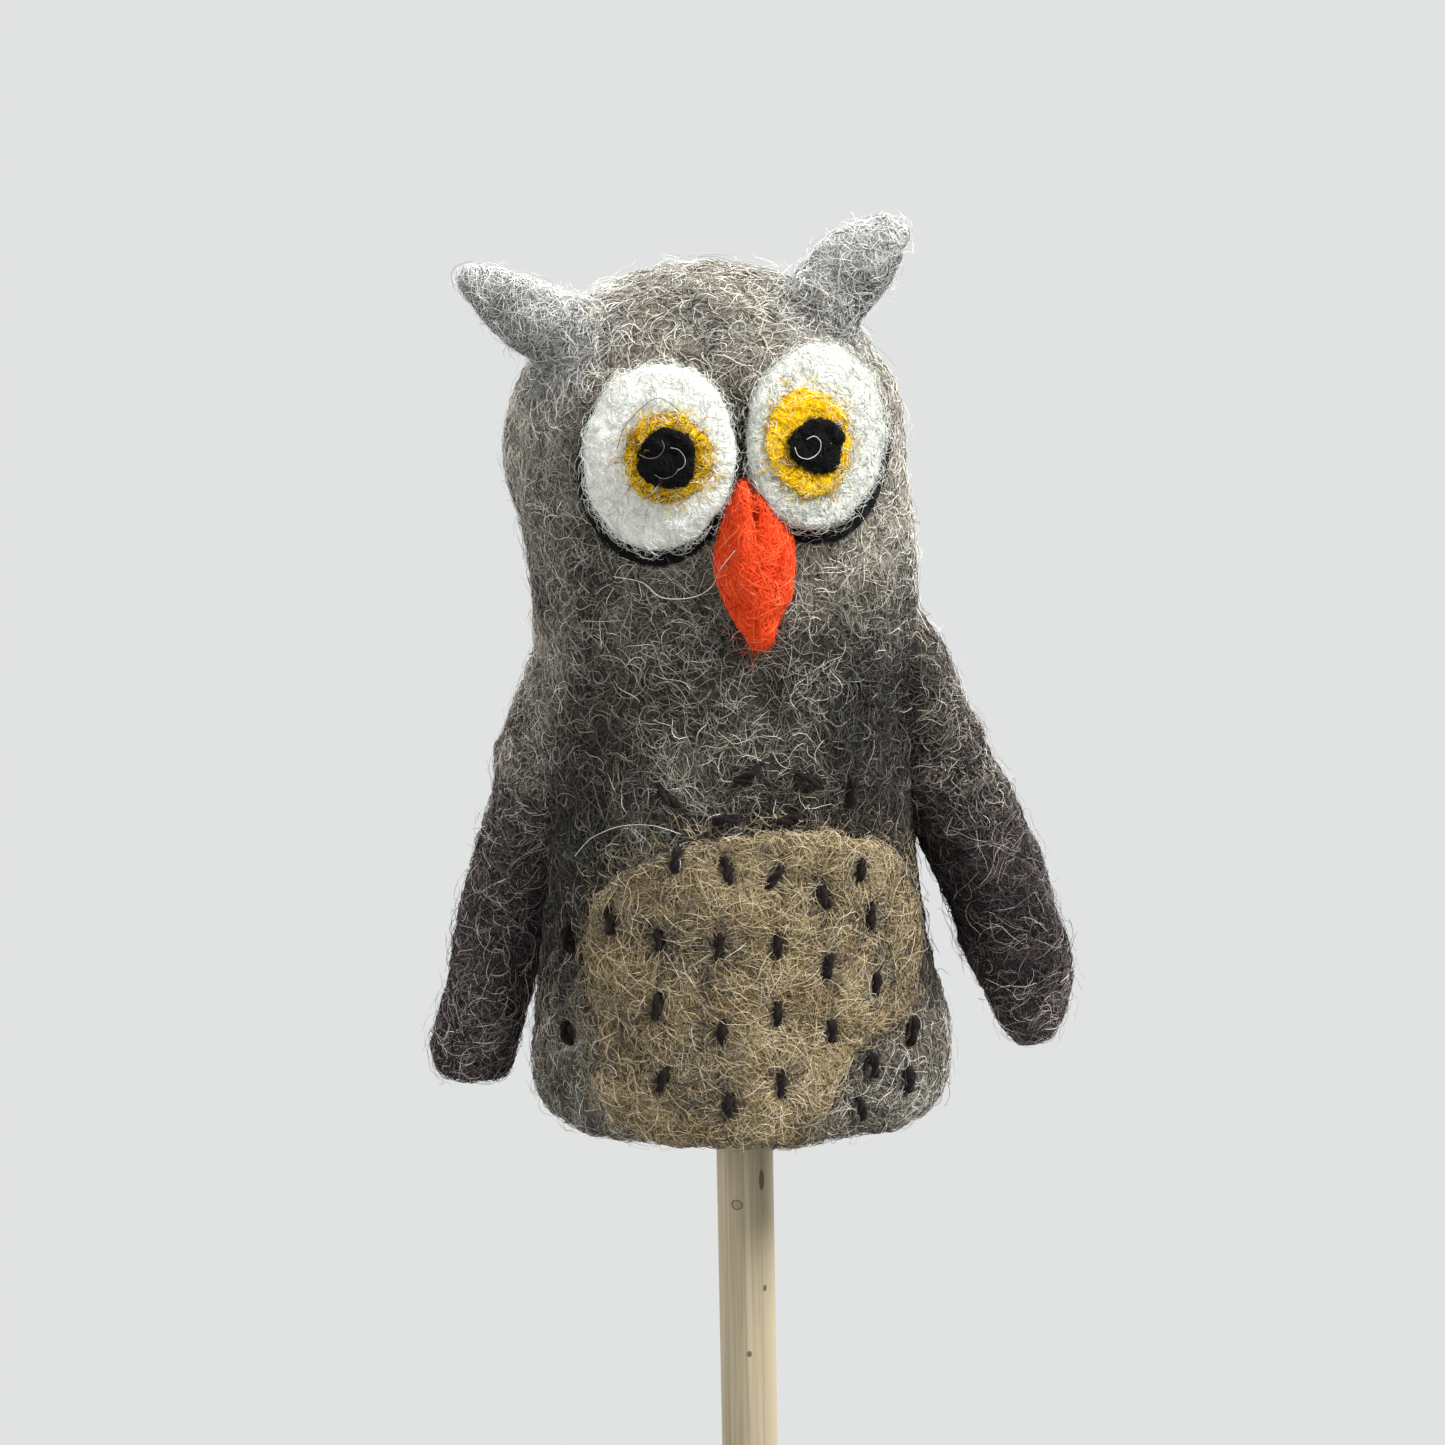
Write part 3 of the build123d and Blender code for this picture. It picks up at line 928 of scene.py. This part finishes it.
def make_beak():
    """Two lobes of combed orange wool, parted at the top and running together to a wispy tip."""
    beak = felt_form("beak", ("beak_lobe_left", "beak_lobe_right"), ground_of("orange"),
                     0.25 * MM,
                     8, 0.18 * MM, [(2.6 * MM, 0.35 * MM), (1.2 * MM, 0.16 * MM)])
    co = points_of(beak.data)
    off = co[:, 0] / MM - np.interp(height_of(co), *zip(*BEAK_CLEFT))
    depth = np.interp(height_of(co), *zip(*CLEFT_DEPTH)) * MM
    co[:, 1] += depth * np.exp(-((off / CLEFT_HALF_WIDTH) ** 2))
    move_points(beak, co)
    surface = Surface(beak)
    on_head = rides("head")
    felt_coat("beak_strands", surface, 1900, "orange", 0.52, on_head, "beak_wool", length=7.0 * MM,
              curl=5 * MM, lift=0.35 * MM, width=0.09 * MM, grain=(0, 0, -1), spread=0.16, steps=8)
    felt_coat("beak_fuzz", surface, 260, "orange", 0.6, on_head, "beak_wool", length=3.0 * MM, curl=1.4 * MM,
              lift=0.5 * MM, loose=0.8 * MM, width=0.05 * MM)

    def near_tip(centres, normals):
        return np.exp(-(np.linalg.norm(centres - BEAK_TIP, axis=1) / (0.7 * MM)) ** 2)

    felt_coat("beak_tip", head_surface, 70, "orange", 0.8, on_head, "beak_wool", weight=near_tip,
              length=3.0 * MM, curl=1.4 * MM, lift=0.6 * MM, width=0.05 * MM, grain=(0.15, 0, -1), spread=0.5)
    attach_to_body(beak, "head")
    FRONT.append(surface)


for side in SIDES:
    make_eye(side)
make_beak()


# -------- belly patch and thread


def gap_to(surface, points):
    """How far each point is from a skin."""
    return np.linalg.norm(surface.settle(points)[0] - points, axis=1)


def make_patch():
    """Beige wool felted onto the front, with its edge and the grey wool straying over each other."""

    def tone(p):
        low = fade(height_of(p), 14, 0)
        return np.clip(0.48 + 0.14 * low + drift(p, 7 * MM, 0.25) + drift(p, 2.5 * MM, 0.18), 0, 1)

    lumps = [(7 * MM, 0.25 * MM), (2.6 * MM, 0.35 * MM), (1.2 * MM, 0.14 * MM)]
    patch = felt_form("belly_felt", ("belly_patch",), ground_of("patch"), 0.4 * MM, 14,
                      0.35 * MM,
                      lumps, (), tone)
    dimple(patch, ("patch_stitches",), 0.9 * MM, 0.9 * MM)
    surface = Surface(patch)
    on_torso = rides("torso")

    def front(centres, normals):
        return np.clip(-normals[:, 1] + 0.3, 0, 1)

    def rim(centres, normals):
        return front(centres, normals) * np.clip(1.5 - gap_to(head_surface, centres) / (0.8 * MM), 0, 1)

    def round_about(centres, normals):
        near = (np.abs(centres[:, 0]) < 24 * MM) & (centres[:, 1] < 0) & (height_of(centres) < 38)
        chance = np.zeros(len(centres))
        gap = gap_to(surface, centres[near])
        chance[near] = np.exp(-((gap / (1.6 * MM)) ** 2)) * (gap > 0.2 * MM)
        return chance

    felt_coat("belly_mat", surface, 4200, "patch", lambda p: tone(p) - 0.05, on_torso, "patch_felt",
              weight=front,
              **dict(MAT, length=2.8 * MM, curl=0.8 * MM))
    felt_coat("belly_wool", surface, 6500, "patch", tone, on_torso, "patch_felt", weight=front,
              length=4.6 * MM, curl=1.1 * MM, lift=0.55 * MM, steps=8, width=0.1 * MM)
    felt_coat("belly_strays", surface, 700, "patch", 0.75, on_torso, "patch_felt", weight=front,
              length=6.0 * MM, curl=1.8 * MM, lift=0.9 * MM, loose=1.2 * MM, width=0.07 * MM)
    felt_coat("belly_edge", head_surface, 2700, "patch", 0.46, on_torso, "patch_felt", weight=round_about,
              length=3.8 * MM, curl=0.9 * MM, lift=0.7 * MM, steps=8, width=0.1 * MM)
    felt_coat("belly_over", surface, 1900, "grey", 0.36, on_torso, "grey_felt", weight=rim,
              length=4.4 * MM, curl=0.8 * MM, lift=0.8 * MM, steps=8, width=0.1 * MM)
    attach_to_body(patch, "torso")
    FRONT.append(surface)


def thread_material():
    g = Graph("dark_thread")
    strands = g.noise(1.0, 3.0, 0.6, g.mapped((2600, 2600, 900)), 0.6)
    colour = g.ramp(strands, [(0.3, linear(8, 5, 5)), (0.55, linear(22, 14, 14)), (0.8, linear(50, 36, 34))])
    g.set(Sheen_Weight=0.05, Specular_IOR_Level=0.15)
    return g.finish(colour, g.maths("SUBTRACT", 1.1, g.maths("MULTIPLY", strands, 0.4)), strands, 0.12 * MM)


PLY_WIDTH = 0.68 * MM
PLY_OFFSET = 0.22 * MM
PLY_TWIST = 2.6  # radians over half a stitch
THREAD_RISE = {"patch_stitches": 0.3 * MM, "chest_stitches": 0.55 * MM, "side_stitches": 0.55 * MM}


def make_thread(node, material):
    """Two twisted plies for each stitch, with both ends going down into the felt."""
    lines = []
    t = np.linspace(-1, 1, 15)
    rng = seeded(node)
    for middle, along, outward in STITCHES[node]:
        across = np.cross(outward, along)
        twist = rng.uniform(0, math.pi)
        rise = THREAD_RISE[node] - 1.0 * MM * t**4
        sway = rng.uniform(-0.25, 0.25) * MM * t**2
        run = t * rng.uniform(1.25, 1.6) * MM
        core = middle + np.outer(run, along) + np.outer(rise, outward) + np.outer(sway, across)
        for ply in (0, math.pi):
            angle = twist + ply + t * PLY_TWIST
            off = np.outer(np.cos(angle), across) + np.outer(np.sin(angle), outward)
            lines.append(core + PLY_OFFSET * off)
    count = len(lines)
    widths = np.full(count, PLY_WIDTH)
    thread = tubes(f"{node}_thread", np.array(lines), widths, np.zeros(count, int), [material], 7)
    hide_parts(node)
    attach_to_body(thread, "torso")


make_patch()
thread_look = thread_material()
for node in STITCHES:
    make_thread(node, thread_look)


# -------- single loose fibres


# Wool, shade, width in mm, and (x, height above the hem) in mm from one end to the other
FACE_FIBRES = [
    ("grey", 4, 0.09, [(-12.5, 60.0), (-9.5, 59.5), (-7.5, 58.0), (-4.5, 58.0), (-2.5, 59.0), (-1.5, 61.0),
                       (0.0, 63.0)]),
    ("white", 1, 0.10, [(-6.5, 63.5), (-6.5, 62.5), (-6.0, 62.3), (-5.5, 63.0), (-6.0, 63.8)]),
    ("white", 1, 0.07, [(6.0, 73.0), (6.4, 72.1), (7.4, 71.8), (8.4, 72.4), (8.6, 73.4), (8.0, 74.0),
                        (7.2, 73.7)]),
    ("grey", 4, 0.09, [(-0.8, 67.5), (-0.4, 69.0), (0.6, 70.3), (1.8, 70.0), (2.5, 68.5)]),
    ("grey", 3, 0.09, [(5.0, 56.0), (6.0, 57.0), (7.0, 56.5), (7.5, 55.0), (6.5, 54.0)]),
    ("grey", 2, 0.06, [(-9.3, 72.6), (-8.4, 72.2), (-7.4, 72.4), (-6.8, 73.2), (-7.0, 74.0)]),
    ("grey", 3, 0.06, [(-6.2, 73.2), (-5.4, 73.0), (-4.8, 72.2), (-4.9, 71.4), (-5.6, 71.0)]),
    ("grey", 2, 0.06, [(-7.8, 70.6), (-7.0, 70.2), (-6.0, 70.5), (-5.4, 71.2)]),
    ("black", 1, 0.07, [(-11.5, 73.0), (-10.5, 75.5), (-7.5, 78.0), (-5.0, 76.5)]),
]
CHEST_FIBRES = [
    ("grey", 4, 0.07, [(-17.5, 30.0), (-15.5, 32.4), (-12.5, 34.0), (-9.0, 34.4), (-6.0, 33.6)]),
]


SINGLE_FIBRE_RINGS = 34
SINGLE_FIBRE_LIFT = 0.45 * MM
IN_FRONT = -60 * MM  # a place on Y that is clear of the owl
FRONT_DEFAULT = -4 * MM  # where a fibre lies if no skin is behind it


def smooth_point(knots, t):
    """The point at t on a Catmull-Rom curve through the knots, one unit of t apart."""
    i = min(int(t), len(knots) - 2)
    a, b, c, d = (knots[min(max(i + j, 0), len(knots) - 1)] for j in (-1, 0, 1, 2))
    u = t - i
    square = 2 * a - 5 * b + 4 * c - d
    cube = 3 * b - a - 3 * c + d
    return 0.5 * (2 * b + (c - a) * u + square * u**2 + cube * u**3)


def lie_on_front(points, lift):
    """A smooth line over the front of the owl through (x, height) places."""
    knots = np.array(points)
    path = []
    for t in np.linspace(0, len(knots) - 1, SINGLE_FIBRE_RINGS):
        x, height = smooth_point(knots, t)
        start = Vector((x * MM, IN_FRONT, HEM_Z + height * MM))
        hits = [s.tree.ray_cast(start, Vector((0, 1, 0)))[0] for s in FRONT]
        depths = [h.y for h in hits if h is not None]
        path.append((start.x, min(depths, default=FRONT_DEFAULT) - lift, start.z))
    path = np.array(path)
    for _ in range(3):
        path[1:-1, 1] = np.minimum(path[1:-1, 1], (path[:-2, 1] + path[2:, 1]) / 2)
    return path


def lay_single_fibres(name, body, fibres):
    for i, (family, shade, width, points) in enumerate(fibres):
        line = lie_on_front(points, SINGLE_FIBRE_LIFT)[None]
        widths, shades = np.array([width * MM]), np.array([shade])
        piece = tubes(f"{name}_{i}", line, widths, shades, fibre_materials(family), 5)
        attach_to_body(piece, body)


lay_single_fibres("face_fibre", "head", FACE_FIBRES)
lay_single_fibres("chest_fibre", "torso", CHEST_FIBRES)


# -------- stick


BLACK, WHITE = (0, 0, 0, 1), (1, 1, 1, 1)
# Angle round the stick and width, in radians
DARK_LINES = [(-0.06, 0.05), (0.6, 0.035), (-0.75, 0.03), (2.4, 0.05), (-2.2, 0.04)]
# A ring knot and three specks: (x, y, height above the hem) in mm, stretch along the grain, strength inside
# the ring, outer radius in mm, tint
STICK_MARKS = [
    ((-1.0, -3.0, -11.5), 1.15, 0.25, 0.75, 0.95),
    ((1.8, -2.6, -8.8), 0.3, 1.0, 0.4, 0.8),
    ((2.0, -2.5, -21.5), 0.7, 1.0, 0.3, 0.8),
    ((0.1, -3.2, -29.0), 0.8, 1.0, 0.32, 0.8),
]


def stick_material():
    """Bare pale wood: long grain, a paler strip down one side, a small ring knot and a few specks."""
    g = Graph("bare_wood")
    split = g.nodes.new("ShaderNodeSeparateXYZ")
    g.links.new(g.place, split.inputs[0])
    x, y, _ = split.outputs
    around = g.maths("ARCTAN2", x, g.maths("MULTIPLY", y, -1.0))
    grain = g.noise(1.0, 6.0, 0.65, g.mapped((1500, 1500, 22)), 0.3)
    fine = g.noise(1.0, 4.0, 0.6, g.mapped((5200, 5200, 90)))
    broad = g.noise(1.0, 2.0, 0.5, g.mapped((330, 330, 14)))
    level = g.maths("ADD", g.maths("MULTIPLY", grain, 0.5), g.maths("MULTIPLY", fine, 0.25))
    level = g.maths("ADD", level, g.maths("MULTIPLY", broad, 0.35))
    colour = g.ramp(level, [(0.35, linear(122, 109, 86)), (0.55, linear(160, 147, 122)),
                            (0.75, linear(184, 173, 148))])
    wander = g.maths("ADD", around, g.maths("MULTIPLY", g.maths("SUBTRACT", broad, 0.5), 0.5))
    strip = g.ramp(wander, [(0.0, BLACK), (0.62, BLACK), (0.72, WHITE), (1.0, WHITE)])
    colour = g.mix(strip, colour, linear(164, 152, 126))
    for angle, width in DARK_LINES:
        away = g.maths("ABSOLUTE", g.maths("SUBTRACT", wander, angle))
        line = g.maths("SUBTRACT", 1.0, g.maths("DIVIDE", away, width), clamp=True)
        colour = g.mix(g.maths("MULTIPLY", line, 0.45), colour, linear(112, 96, 70))
    for (x_mm, y_mm, up_mm), stretch, inner, outer, tint in STICK_MARKS:
        node = g.nodes.new("ShaderNodeVectorMath")
        node.operation = "DISTANCE"
        g.links.new(g.mapped((1, 1, stretch)), node.inputs[0])
        node.inputs[1].default_value = (x_mm * MM, y_mm * MM, (HEM_Z / MM + up_mm) * MM * stretch)
        away = g.maths("MULTIPLY", node.outputs["Value"], 1000.0)  # in mm
        inside = (inner,) * 3 + (1,)
        mark = g.ramp(away, [(0.0, inside), (outer * 0.6, inside), (outer * 0.8, WHITE), (outer, BLACK)])
        colour = g.mix(g.maths("MULTIPLY", mark, tint), colour, linear(70, 54, 34))
    rough = g.maths("ADD", g.maths("MULTIPLY", grain, 0.25), 0.5)
    g.set(Specular_IOR_Level=0.35)
    return g.finish(colour, rough, g.maths("ADD", grain, g.maths("MULTIPLY", fine, 0.5)), 0.05 * MM)


stick = frame["nodes"]["display_stick"]
stick.data.materials.clear()
stick.data.materials.append(stick_material())


# -------- stage


BACKDROP = linear(225, 227, 226)
FLOOR_Z = -0.25
# Name, place from the neck in metres, width of its disc in metres, power in watts
LAMPS = [
    ("key", (0.40, -0.26, 0.46), 0.26, 9.0),
    ("fill", (-0.45, -0.5, 0.15), 0.5, 2.6),
    ("top", (0.05, 0.22, 0.6), 0.4, 6.5),
    ("edge_right", (0.5, 0.38, 0.12), 0.3, 4.0),
    ("edge_left", (-0.5, 0.38, 0.10), 0.3, 2.5),
]


def make_world():
    """An even pale backdrop for the camera, and a dimmer white light for everything else."""
    world = bpy.data.worlds.new("studio")
    bpy.context.scene.world = world
    world.use_nodes = True
    nodes, links = world.node_tree.nodes, world.node_tree.links
    seen = nodes["Background"]
    seen.inputs["Color"].default_value = BACKDROP
    lit = nodes.new("ShaderNodeBackground")
    lit.inputs["Color"].default_value = WHITE
    lit.inputs["Strength"].default_value = 0.36
    rays = nodes.new("ShaderNodeLightPath")
    mix = nodes.new("ShaderNodeMixShader")
    links.new(rays.outputs["Is Camera Ray"], mix.inputs[0])
    links.new(lit.outputs[0], mix.inputs[1])
    links.new(seen.outputs[0], mix.inputs[2])
    links.new(mix.outputs[0], nodes["World Output"].inputs[0])


def make_floor():
    """A disc below the stick that glows as pale as the backdrop and takes no light."""
    bpy.ops.mesh.primitive_circle_add(vertices=96, radius=0.5, fill_type="NGON", location=(0, 0, FLOOR_Z))
    floor = bpy.context.object
    floor.name = "floor"
    g = Graph("pale_floor")
    tint = g.ramp(g.noise(6.0), [(0.3, linear(224, 226, 225)), (0.7, linear(226, 228, 227))])
    g.links.new(tint, g.shader.inputs["Emission Color"])
    g.set(Base_Color=(0.003, 0.003, 0.003, 1), Emission_Strength=1.0, Specular_IOR_Level=0.0, Roughness=1.0)
    floor.data.materials.append(g.material)


def make_lamps():
    for name, offset, size, power in LAMPS:
        data = bpy.data.lights.new(name, "AREA")
        data.shape = "DISK"
        data.size = size
        data.energy = power
        lamp = bpy.data.objects.new(name, data)
        bpy.context.scene.collection.objects.link(lamp)
        lamp.location = NECK + Vector(offset)
        lamp.rotation_euler = (NECK - lamp.location).to_track_quat("-Z", "Y").to_euler()


SENSOR_WIDTH = 36  # mm
VIEW_WIDTH = 157.5 * MM  # what the photo's width takes in at the owl
CAMERA_DISTANCE = 260 * MM
LOOKS_DOWN = math.radians(9.0)
ROLL = math.radians(1.07)


def make_camera():
    """Slightly above the owl, looking straight at its front."""
    target = Vector((-1.6 * MM, 0, HEM_Z + 42.4 * MM))
    data = bpy.data.cameras.new("camera")
    data.sensor_width = SENSOR_WIDTH
    data.lens = SENSOR_WIDTH * CAMERA_DISTANCE / VIEW_WIDTH
    data.clip_start = 0.01
    camera = bpy.data.objects.new("camera", data)
    bpy.context.scene.collection.objects.link(camera)
    camera.location = target + CAMERA_DISTANCE * Vector((0, -math.cos(LOOKS_DOWN), math.sin(LOOKS_DOWN)))
    look = (target - camera.location).to_track_quat("-Z", "Y").to_matrix().to_4x4()
    camera.rotation_euler = (look @ Matrix.Rotation(-ROLL, 4, "Z")).to_euler()
    bpy.context.scene.camera = camera


make_world()
make_floor()
make_lamps()
make_camera()
bpy.context.scene.view_settings.view_transform = "Standard"
